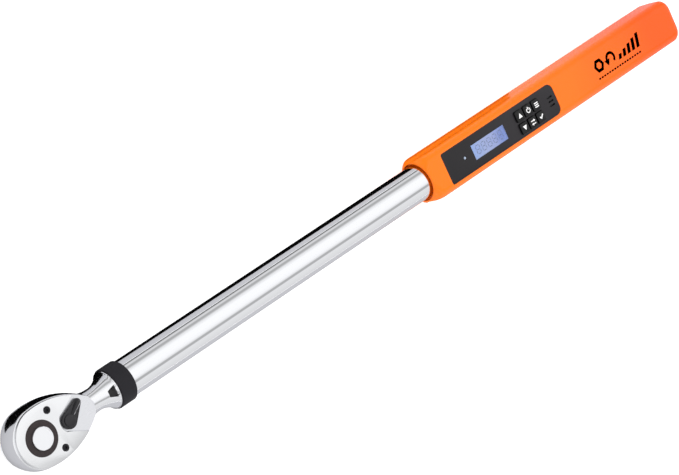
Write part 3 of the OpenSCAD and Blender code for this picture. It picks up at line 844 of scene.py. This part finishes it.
# The chamfer on one side of the ridge takes the bright painted highlight.
for face in ridge.data.polygons:
    if face.normal.y < -0.4 and face.normal.z > 0.4 and face.center.x > 3.5 * MM:
        face.material_index = 1
combine(lever, ridge, "UNION")
spindle = prism("spindle", disc((0, 0), 3 * MM, 48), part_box("reversing_lever")[0].z, lever_floor + MM,
                lever_paint)
combine(lever, spindle, "UNION")
lever.data.transform(Matrix.Translation((spindle_x, 0, 0)) @ Matrix.Rotation(LEVER_ANGLE, 4, "Z"))
dress(lever, "lever", "lever_black", "reversing_lever")

# %% [markdown]
# ## Socket screws
# The same screw sits in two places on the cover and eight on the back. One node tree makes a head with a
# chamfer and a hexagon socket and stands it on every point that it is given, so a change of size is a
# change of one input. The result is baked to a plain mesh, because instances aren't exported.


# %% What every tree shares
def new_tree(name, **sizes):
    """A tree with points, sizes and a material as inputs; _ stands for a space. Returns it and its inputs."""
    tree = bpy.data.node_groups.new(name, "GeometryNodeTree")
    tree.interface.new_socket("Geometry", in_out="INPUT", socket_type="NodeSocketGeometry")
    for key, value in sizes.items():
        socket = tree.interface.new_socket(key.replace("_", " "), in_out="INPUT",
                                           socket_type="NodeSocketFloat")
        socket.default_value = value
    tree.interface.new_socket("Material", in_out="INPUT", socket_type="NodeSocketMaterial")
    tree.interface.new_socket("Geometry", in_out="OUTPUT", socket_type="NodeSocketGeometry")
    return tree, add_node(tree, "NodeGroupInput").outputs


def vector(tree, **parts):
    return add_node(tree, "ShaderNodeCombineXYZ", parts).outputs[0]


def shifted(tree, node, **how):
    """A node's mesh under a Translation or a Scale."""
    moved = add_node(tree, "GeometryNodeTransform", {"Geometry": node.outputs["Mesh"], **how})
    return moved.outputs["Geometry"]


def stand_on_points(tree, given, part, **how):
    """Ends a tree: the part stands on every point, is made real and takes the material."""
    placed = add_node(tree, "GeometryNodeInstanceOnPoints",
                      {"Points": given["Geometry"], "Instance": part, **how})
    real = add_node(tree, "GeometryNodeRealizeInstances", {"Geometry": placed.outputs["Instances"]})
    dressed = add_node(tree, "GeometryNodeSetMaterial",
                       {"Geometry": real.outputs["Geometry"], "Material": given["Material"]})
    add_node(tree, "NodeGroupOutput", {"Geometry": dressed.outputs["Geometry"]})
    return tree


def grow_tree(name, tree, points, material, sharp=30, **sizes):
    """Runs a node tree over points and returns the baked piece. Input names use _ for a space."""
    mesh = bpy.data.meshes.new(name)
    mesh.from_pydata([Vector(p) for p in points], [], [])
    piece = bpy.data.objects.new(name, mesh)
    scene.collection.objects.link(piece)
    step = piece.modifiers.new(tree.name, "NODES")
    step.node_group = tree
    wanted = {key.replace("_", " "): value for key, value in sizes.items()}
    wanted["Material"] = material
    for item in tree.interface.items_tree:
        if item.item_type == "SOCKET" and item.in_out == "INPUT" and item.name in wanted:
            step[item.identifier] = wanted[item.name]
    return settle(piece, sharp)


# %% Screw tree
def screw_tree():
    tree, given = new_tree("socket_screws", Head_radius=2.6 * MM, Head_height=1.5 * MM, Chamfer=0.3 * MM,
                           Socket_radius=1.3 * MM, Socket_depth=1.0 * MM, Turn_over=0.0)
    radius = given["Head radius"]
    chamfer = given["Chamfer"]
    straight = calc(tree, "SUBTRACT", given["Head height"], chamfer)
    body = add_node(tree, "GeometryNodeMeshCylinder", {"Vertices": 40, "Radius": radius, "Depth": straight})
    cone = add_node(tree, "GeometryNodeMeshCone",
                    {"Vertices": 40, "Radius Top": calc(tree, "SUBTRACT", radius, chamfer),
                     "Radius Bottom": radius, "Depth": chamfer})
    body_z = calc(tree, "SUBTRACT", calc(tree, "MULTIPLY", straight, -0.5), chamfer)
    cone_z = calc(tree, "MULTIPLY", chamfer, -1.0)
    solid = add_node(tree, "GeometryNodeMeshBoolean", operation="UNION", solver="EXACT")
    for part, height in ((body, body_z), (cone, cone_z)):
        tree.links.new(shifted(tree, part, Translation=vector(tree, Z=height)), solid.inputs["Mesh 2"])
    hexagon = add_node(tree, "GeometryNodeMeshCylinder",
                       {"Vertices": 6, "Radius": given["Socket radius"], "Depth": 1.0})
    deep = calc(tree, "MULTIPLY", given["Socket depth"], 2.0)
    socket = shifted(tree, hexagon, Scale=vector(tree, X=1.0, Y=1.0, Z=deep))
    screw = add_node(tree, "GeometryNodeMeshBoolean", {"Mesh 1": solid.outputs["Mesh"], "Mesh 2": socket},
                     operation="DIFFERENCE", solver="EXACT")
    return stand_on_points(tree, given, screw.outputs["Mesh"], Rotation=vector(tree, X=given["Turn over"]))


# %% Screws in place
screws = screw_tree()
cover_heads = grow_tree("cover_screw_heads", screws, [(screw_x, s * screw_y, screw_high.z) for s in (-1, 1)],
                        black_oxide, Head_height=6 * MM, Head_radius=2.45 * MM, Socket_radius=1.35 * MM)
dress(cover_heads, "wrench", "black_steel", "cover_screws")
back_low, back_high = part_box("back_cover_screws")
back_y = back_high.y - 2.4 * MM
back_x = [back_low.x + 2.4 * MM, 486 * MM, back_high.x - 2.4 * MM]
back_heads = grow_tree("back_cover_screw_heads", screws,
                       [(x, s * back_y, back_low.z) for x in back_x for s in (-1, 1)], black_oxide,
                       Head_height=7.6 * MM, Head_radius=2.4 * MM, Socket_radius=1.1 * MM, Turn_over=math.pi)
dress(back_heads, "wrench", "black_steel", "back_cover_screws")
tube_screw_low, tube_screw_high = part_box("tube_screws")
tube_screw_x = (tube_screw_low.x + 3 * MM, tube_screw_high.x - 3 * MM)
tube_heads = grow_tree("tube_screw_heads", screws, [(x, 0, tube_screw_low.z) for x in tube_screw_x],
                       black_oxide, Head_height=5 * MM, Head_radius=3 * MM, Socket_radius=1.3 * MM,
                       Turn_over=math.pi)
dress(tube_heads, "wrench", "black_steel", "tube_screws")

# %% [markdown]
# ## Button spring
# The release button stands on a coil spring inside the drive gear. A node tree sweeps a round wire along a
# spiral. When the button goes down the coil flattens towards its seat.


# %% Coil tree
def coil_tree():
    tree, given = new_tree("coil_springs", Coils=3.0, Radius=4.6 * MM, Wire=0.45 * MM, Height=5 * MM)
    path = add_node(tree, "GeometryNodeCurveSpiral",
                    {"Resolution": 36, "Rotations": given["Coils"], "Start Radius": given["Radius"],
                     "End Radius": given["Radius"], "Height": given["Height"]})
    wire = add_node(tree, "GeometryNodeCurvePrimitiveCircle", {"Resolution": 12, "Radius": given["Wire"]})
    swept = add_node(tree, "GeometryNodeCurveToMesh",
                     {"Curve": path.outputs["Curve"], "Profile Curve": wire.outputs["Curve"],
                      "Fill Caps": True})
    return stand_on_points(tree, given, swept.outputs["Mesh"])


# %% Coil in place
spring_low, spring_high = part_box("button_spring")
wire_r = 0.45 * MM
spring_room = spring_high.z - spring_low.z - 2 * wire_r
coil = grow_tree("button_coil", coil_tree(), [(0, 0, spring_low.z + wire_r)], ground_steel, sharp=60,
                 Radius=spring_high.x - wire_r, Wire=wire_r, Height=spring_room)
dress(coil, "drive", "bright_steel", "button_spring")
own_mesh(coil)

# %% [markdown]
# ## The handle's form
# The handle is a round-cornered bar. Its front is turned down to a soft cone around the tube and its butt is
# rounded in plan and in side view. The form is a loft: one ring of points at each station along X. Where the
# cone meets the bar, a soft minimum of the two radii gives the blend that a pattern maker would file. One
# form serves the housing, the back cover and the battery door, so their seams always match.

# %% Handle sizes
half_w = (handle_high.y - handle_low.y) / 2
half_h = max(axis_z - handle_low.z, fascia_high.z - axis_z + 0.1 * MM)
front_x = handle_low.x
butt_x = handle_high.x
CORNER = 7 * MM
WALL = 2.2 * MM
FRONT_RADIUS = 16.2 * MM
CONE_SLOPE = 9.8 / 11
BUTT_PLAN = 9 * MM
BUTT_SIDE = 8 * MM
BELLY_TAPER = 0.05
RIM = 1.2 * MM
CONE_END = RIM + 12 * MM
SOFT_EDGE = 40
parting_z = axis_z - 9.6 * MM
print("handle", round((butt_x - front_x) / MM, 1), "x", round(2 * half_w / MM, 1), "x",
      round(2 * half_h / MM, 1))


# %% Rings of the handle
def round_section(wide, high, corner, steps=9, flats=8):
    """Points (y, z) of a rectangle with round corners, from its half sizes."""
    corner = min(corner, wide, high)
    points = []
    for quarter, (sy, sz) in enumerate(((1, 1), (-1, 1), (-1, -1), (1, -1))):
        bend = []
        for i in range(steps + 1):
            a = math.pi / 2 * (quarter + i / steps)
            bend.append(Vector((sy * (wide - corner) + corner * math.cos(a),
                                sz * (high - corner) + corner * math.sin(a))))
        if points:
            points += [points[-1].lerp(bend[0], i / flats) for i in range(1, flats)]
        points += bend
    return points + [points[-1].lerp(points[0], i / flats) for i in range(1, flats)]


def pulled_in(x, end, radius):
    """How far a rounded end has drawn in at a station."""
    inside = max(x - (end - radius), 0)
    return radius - math.sqrt(max(radius * radius - inside * inside, 0))


def soft_min(a, b, blend):
    h = max(blend - abs(a - b), 0) / blend
    return min(a, b) - h * h * blend / 4


def handle_ring(x):
    """The handle's section at a station."""
    wide = half_w - pulled_in(x, butt_x, BUTT_PLAN)
    high = half_h - pulled_in(x, butt_x, BUTT_SIDE)
    from_front = x - front_x
    rim = 1 - min(from_front / RIM, 1)
    cone = FRONT_RADIUS + from_front * CONE_SLOPE - 0.9 * MM * (1 - math.sqrt(1 - rim * rim))
    ring = []
    for point in round_section(wide, high, CORNER):
        out = point.length
        blend = min(4 * MM, 0.1 * MM + 0.5 * from_front)
        point = point * (soft_min(out, cone, blend) / out)
        narrow = 1 - BELLY_TAPER * max(-point.y / half_h, 0)
        ring.append(Vector((x, point.x * narrow, axis_z + point.y)))
    return ring


def handle_bar(name):
    """The whole handle as one closed bar."""
    stations = [front_x + RIM * (i / 5) ** 2 for i in range(5)]
    stations += [front_x + RIM + (CONE_END - RIM) * i / 16 for i in range(17)]
    straight = butt_x - BUTT_PLAN - front_x - CONE_END
    stations += [front_x + CONE_END + straight * i / 12 for i in range(1, 13)]
    stations += [butt_x - BUTT_PLAN * (1 - math.sin(math.pi / 2 * i / 12)) for i in range(1, 13)]
    return new_piece(name, skin([handle_ring(x) for x in stations]), orange_abs, SOFT_EDGE)


def hollow(x0, x1):
    """The room inside the mouldings between two stations."""
    section = round_section(half_w - WALL, half_h - WALL, CORNER - WALL)
    rings = [[Vector((x, p.x, axis_z + p.y)) for p in section] for x in (x0, x1)]
    return new_piece("room", skin(rings), orange_abs)


def block(low, high):
    """A box between two corners, used as a cutter or as a rib."""
    outline = [(low[0], low[1]), (high[0], low[1]), (high[0], high[1]), (low[0], high[1])]
    return prism("block", outline, low[2], high[2], orange_abs)


def rod(radius, x0, x1):
    """A round bar on the tool's axis."""
    return turned("rod", [(0, x0), (radius, x0), (radius, x1), (0, x1)], orange_abs, along="X",
                  centre=(0, 0, axis_z), steps=128)


def carve(moulding, *tools):
    """Cuts tools out of an orange moulding, one after another."""
    for tool in tools:
        cut(moulding, tool, SOFT_EDGE)


# %% [markdown]
# ## Fascia outline
# The black fascia is a long plate with small corners towards the tube and large ones towards the grip. The
# housing has a recess of the same outline, a hair larger, with a smaller opening through it for the keys.


# %% Outlines with arcs
def arc(centre, radius, start, end, steps=8):
    """Points of an arc; angles in degrees."""
    return [(centre[0] + radius * math.cos(math.radians(start + (end - start) * i / steps)),
             centre[1] + radius * math.sin(math.radians(start + (end - start) * i / steps)))
            for i in range(steps + 1)]


def plate_outline(x0, x1, y0, y1, near, far):
    """A rectangle with its corners rounded by near at x0 and by far at x1."""
    return (arc((x1 - far, y1 - far), far, 0, 90) + arc((x0 + near, y1 - near), near, 90, 180)
            + arc((x0 + near, y0 + near), near, 180, 270) + arc((x1 - far, y0 + far), far, 270, 360))


def rounded(centre, half_x, half_y, corner):
    """A rectangle around a point, with all its corners alike."""
    return plate_outline(centre[0] - half_x, centre[0] + half_x, centre[1] - half_y, centre[1] + half_y,
                         corner, corner)


def fascia_outline(grow):
    half = fascia_high.y + grow
    return plate_outline(fascia_low.x - grow, fascia_high.x + grow, -half, half, 2 * MM, 5.5 * MM)


# %% [markdown]
# ## Housing
# The upper moulding holds everything: its front wall grips the tube, and its back is open from the front
# wall to the battery bay. It is cut from the bar step by step, as the mould's core would form it. A long
# shallow scallop runs down each side and fades out beside the keys.

# %% Housing
fascia_t = 1.4 * MM
bay_end = 651 * MM
WIDE = 30 * MM
DEEP = 50 * MM
housing = handle_bar("handle_shell")
room_x = front_x + 6 * MM
carve(housing, hollow(room_x, butt_x - 4 * MM),
      block((room_x, -WIDE, floor_z - DEEP), (bay_end, WIDE, parting_z)),
      rod(15.1 * MM, front_x - MM, front_x + 3.5 * MM),
      rod(tube_r + 0.06 * MM, front_x + MM, front_x + 7 * MM))
FLUTE_RADIUS = 14 * MM
FLUTE_DEPTH = 1.2 * MM
flute_profile = [(0, -10 * MM), (FLUTE_RADIUS, -10 * MM), (FLUTE_RADIUS, 185 * MM), (0, 185 * MM)]
for side in (-1, 1):
    flute = turned("flute", flute_profile, orange_abs, along="X", steps=160)
    flute_at = (front_x + 8 * MM, side * (half_w + FLUTE_RADIUS - FLUTE_DEPTH), axis_z + 3 * MM)
    flute.data.transform(Matrix.Translation(flute_at) @ Matrix.Rotation(side * math.radians(0.4), 4, "Z"))
    carve(housing, flute)
for grow, depth in ((0.08 * MM, fascia_t + 0.02 * MM), (-1.75 * MM, 4 * MM)):
    bore(housing, fascia_outline(grow), fascia_high.z - depth, fascia_high.z + 5 * MM, SOFT_EDGE)
dress(housing, "wrench", "orange_plastic", "handle_housing")

# %% [markdown]
# ## Back cover and battery door
# Both close the back opening and carry the same outer form. The cover has counterbores for its screws. The
# door swings down at the butt; five shallow finger grooves near its free end show where to pull.

# %% Back cover
bay_start = 582 * MM


def back_moulding(name, x0, x1):
    """The part of the bar under the parting plane, between two stations."""
    piece = handle_bar(name)
    slab = block((x0, -WIDE, floor_z - DEEP), (x1, WIDE, parting_z - 0.1 * MM))
    return combine(piece, slab, "INTERSECT", SOFT_EDGE)


cover_back = back_moulding("back_cover_shell", front_x + 6.1 * MM, bay_start - 0.1 * MM)
room = hollow(front_x + 5 * MM, bay_start + MM)
for x in back_x:
    for side in (-1, 1):
        inner, outer = sorted((side * 10 * MM, side * 19 * MM))
        cut(room, block((x - 4 * MM, inner, floor_z - MM), (x + 4 * MM, outer, parting_z)))
carve(cover_back, room, rod(tube_r + 0.05 * MM, front_x, bay_start + MM))
screw_holes = [(disc((x, side * back_y), 2.6 * MM, 32), 12 * MM) for x in back_x for side in (-1, 1)]
screw_holes += [(disc((x, 0), 3.2 * MM, 40), 15.5 * MM) for x in tube_screw_x]
for outline, seat_depth in screw_holes:
    bore(cover_back, outline, floor_z - 5 * MM, axis_z - seat_depth, SOFT_EDGE)
dress(cover_back, "wrench", "orange_plastic", "back_cover")

# %% Battery door
door_low, door_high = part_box("battery_door")
door = back_moulding("battery_door_shell", door_low.x, door_high.x)
carve(door, hollow(bay_start - MM, bay_end + MM))
rib_y = 14.5 * MM
rib_half = 0.6 * MM
for side in (-1, 1):
    rib = block((bay_start + 8 * MM, side * rib_y - rib_half, axis_z - 13 * MM),
                (bay_end - 4 * MM, side * rib_y + rib_half, parting_z + 0.9 * MM))
    combine(door, rib, "UNION", SOFT_EDGE)
for i in range(5):
    groove = turned("groove", in_mm([(0, -9), (0.8, -8.2), (0.8, 8.2), (0, 9)]), orange_abs, steps=16)
    groove_at = Matrix.Translation((door_low.x + (6 + 2.6 * i) * MM, 0, door_low.z - 0.25 * MM))
    groove.data.transform(groove_at @ Matrix.Rotation(math.pi / 2, 4, "X"))
    carve(door, groove)
dress(door, "door", "orange_plastic", "battery_door")

# %% [markdown]
# ## Fascia
# One dark moulding with rounded edges. It has a window for the display, a lens hole, six key holes and three
# slots over the buzzer.

# %% Fascia
KEYS = ["up", "down", "power", "unit", "menu", "enter"]
window_low, window_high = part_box("lcd_window")
plate = prism("fascia_moulding", fascia_outline(0), fascia_high.z - fascia_t, fascia_high.z, charcoal_abs,
              bevel=0.4 * MM, segments=4)


def pierce(outline):
    bore(plate, outline, fascia_high.z - 3 * MM, fascia_high.z + MM)


gap = 0.1 * MM
pierce(plate_outline(window_low.x - gap, window_high.x + gap, window_low.y - gap, window_high.y + gap,
                     0.3 * MM, 0.3 * MM))
for name in KEYS:
    pierce(rounded(middle_of("key_" + name), 4.25 * MM, 4.45 * MM, 1.5 * MM))
buzzer_at = middle_of("buzzer")
for i in (-1, 0, 1):
    pierce(rounded((buzzer_at.x, buzzer_at.y + i * 3.25 * MM), 2.8 * MM, 0.65 * MM, 0.6 * MM))
pierce(disc((middle_of("status_led").x, 0), 1.3 * MM, 32))
dress(plate, "wrench", "fascia_plastic", "fascia")

# %% [markdown]
# ## Keys
# Each key is a hard glossy cap on a flange that stops it in its hole. The cap is lofted: straight sides, a
# rounded shoulder and a top that crowns slightly, so that every key catches its own small highlight. The
# print is a thin layer of white ink in plain signs: arrows, a power ring, a swap sign, a list and a tick.


# %% Key caps
def key_cap(name):
    """One lofted cap around the place of its CAD key."""
    low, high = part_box("key_" + name)
    half_x = 4.1 * MM
    half_y = 4.3 * MM
    top = high.z - 0.04 * MM
    shoulder = 0.7 * MM
    crown = 0.12 * MM
    flange = 0.45 * MM
    flange_z = low.z + 0.7 * MM
    stack = [(flange, low.z), (flange, flange_z), (0, flange_z), (0, top - shoulder - crown)]
    for i in range(1, 7):
        a = math.pi / 2 * i / 6
        stack.append((-shoulder * (1 - math.cos(a)), top - crown - shoulder * (1 - math.sin(a))))
    for share in (0.3, 0.6, 0.85):
        stack.append((-shoulder - share * (half_x - shoulder), top - crown * (1 - share) ** 2))
    rings = []
    for grow, z in stack:
        corner = max(1.4 * MM + grow, 0.25 * MM)
        outline = rounded(middle_of("key_" + name), half_x + grow, half_y + grow, corner)
        rings.append([Vector((x, y, z)) for x, y in outline])
    return new_piece("cap_" + name, skin(rings), gloss_black, 35)


for name in KEYS:
    dress(key_cap(name), name + "_key", "key_black", "key_" + name)


# %% Printed signs
def stamp(name, shapes, low, high, ink, centre=(0, 0), size=MM):
    """Thin flat prints: a shape is an outline, or a band given as its outer and inner edge."""
    data = bmesh.new()

    def at(point, z):
        return Vector((centre[0] + point[0] * size, centre[1] + point[1] * size, z))

    for shape in shapes:
        if isinstance(shape, tuple):
            rows = [[at(a, low), at(b, low), at(b, high), at(a, high)] for a, b in zip(*shape)]
            is_loop = (Vector(shape[0][0]) - Vector(shape[0][-1])).length < 1e-6
        else:
            rows = [[at(point, z) for point in shape] for z in (low, high)]
            is_loop = False
        skin(rows, not is_loop, data)
    bmesh.ops.triangulate(data, faces=[f for f in data.faces if len(f.verts) > 4])
    return new_piece(name, data, ink)


def bar_shape(x0, y0, x1, y1):
    return [(x0, y0), (x1, y0), (x1, y1), (x0, y1)]


def ring_shape(radius, thick, start, end, centre=(0, 0), steps=20):
    """A band along an arc; angles in degrees."""
    outer, inner = (arc(centre, radius + side * thick / 2, start, end, steps) for side in (1, -1))
    return outer, inner


def arrow_shape(y, way):
    """A short arrow along X at a height."""
    return [(way * x, y + dy) for x, dy in ((-2.2, 0.35), (0.6, 0.35), (0.6, 1.15), (2.3, 0), (0.6, -1.15),
                                            (0.6, -0.35), (-2.2, -0.35))]


SIGNS = {
    "up": [[(-2.0, -1.7), (2.0, -1.7), (0, 2.0)]],
    "down": [[(-2.0, 1.7), (0, -2.0), (2.0, 1.7)]],
    "power": [ring_shape(1.8, 0.75, 125, 415), bar_shape(-0.38, 0.3, 0.38, 2.7)],
    "unit": [arrow_shape(1.25, 1), arrow_shape(-1.25, -1)],
    "menu": [bar_shape(-2.0, y - 0.4, 2.0, y + 0.4) for y in (1.5, 0, -1.5)],
    "enter": [[(-2.2, 0.1), (-1.5, 0.8), (-0.6, -0.1), (1.5, 2.0), (2.2, 1.3), (-0.6, -1.6)]],
}
for name, outlines in SIGNS.items():
    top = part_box("key_" + name)[1].z
    sign = stamp("sign_" + name, outlines, top - 0.5 * MM, top, white_ink, middle_of("key_" + name))
    dress(sign, name + "_key", "led_white")

# %% [markdown]
# ## Ghost segments
# A switched-off segment of a lit display still shows as a slightly darker bar. One node tree lays a thin
# six-sided bar on every point; a turn makes the upright ones from the same tree.


# %% Segment tree
def segment_tree():
    tree, given = new_tree("display_segments", Half_length=1.7 * MM, Half_width=0.34 * MM,
                           Thickness=0.05 * MM, Turn=0.0)
    six = add_node(tree, "GeometryNodeMeshCylinder", {"Vertices": 6, "Radius": 1.0, "Depth": 1.0})
    size = vector(tree, X=given["Half length"], Y=given["Half width"], Z=given["Thickness"])
    bar = shifted(tree, six, Scale=size)
    return stand_on_points(tree, given, bar, Rotation=vector(tree, Z=given["Turn"]))


# %% Digits on the display
panel_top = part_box("lcd_module")[1].z + 0.03 * MM
digit_x = [window_low.x + (6.5 + 6.2 * i) * MM for i in range(5)]
digit_y = (window_low.y + window_high.y) / 2
row = 3.3 * MM
across_points = [(x, digit_y + k * row, panel_top) for x in digit_x for k in (-1, 0, 1)]
upright_points = [(x + side * 1.95 * MM, digit_y + k * row / 2, panel_top)
                  for x in digit_x for k in (-1, 1) for side in (-1, 1)]
segments = segment_tree()
dress(grow_tree("segments_across", segments, across_points, ghost_ink), "wrench", "lcd_blue")
dress(grow_tree("segments_upright", segments, upright_points, ghost_ink, Half_length=1.45 * MM,
                Turn=math.pi / 2), "wrench", "lcd_blue")

# %% [markdown]
# ## Print on the grip
# The print is a plain workshop sign: the hexagon of a bolt, a curved arrow that shows the way it turns, a run
# of slanted bars that grow with the torque, and a row of dashes under them.

# %% Grip print
top_z = axis_z + half_h
GRIP_AT = (565.5 * MM, 1.8 * MM)
hexagon = [(5.8 * math.cos(math.radians(60 * i)), 5.8 * math.sin(math.radians(60 * i))) for i in range(7)]
inner_hexagon = [(x * 0.5, y * 0.5) for x, y in hexagon]
turn_centre = (14.0, 0)
turning = ring_shape(4.2, 2.3, -50, 195, turn_centre)
head_tip = [(turn_centre[0] + x, y) for x, y in ((-7.4, 0.4), (-1.0, 0.4), (-4.2, -4.8))]
bars = []
for i in range(5):
    foot = 21.5 + 5.6 * i
    tall = -1.2 + 1.75 * i
    lean = 1.8 + 0.3 * i
    bars.append([(foot, -5.2), (foot + 3.6, -5.2), (foot + 3.6 + lean, tall), (foot + lean, tall)])
dashes = [bar_shape(-5.5 + 3.1 * i, -10.0, -3.3 + 3.1 * i, -8.6) for i in range(17)]
shapes = [(hexagon, inner_hexagon), turning, head_tip] + bars + dashes
grip_print = stamp("grip_print", shapes, top_z - 0.2 * MM, top_z, black_ink, GRIP_AT)
dress(grip_print, "wrench", "key_black")
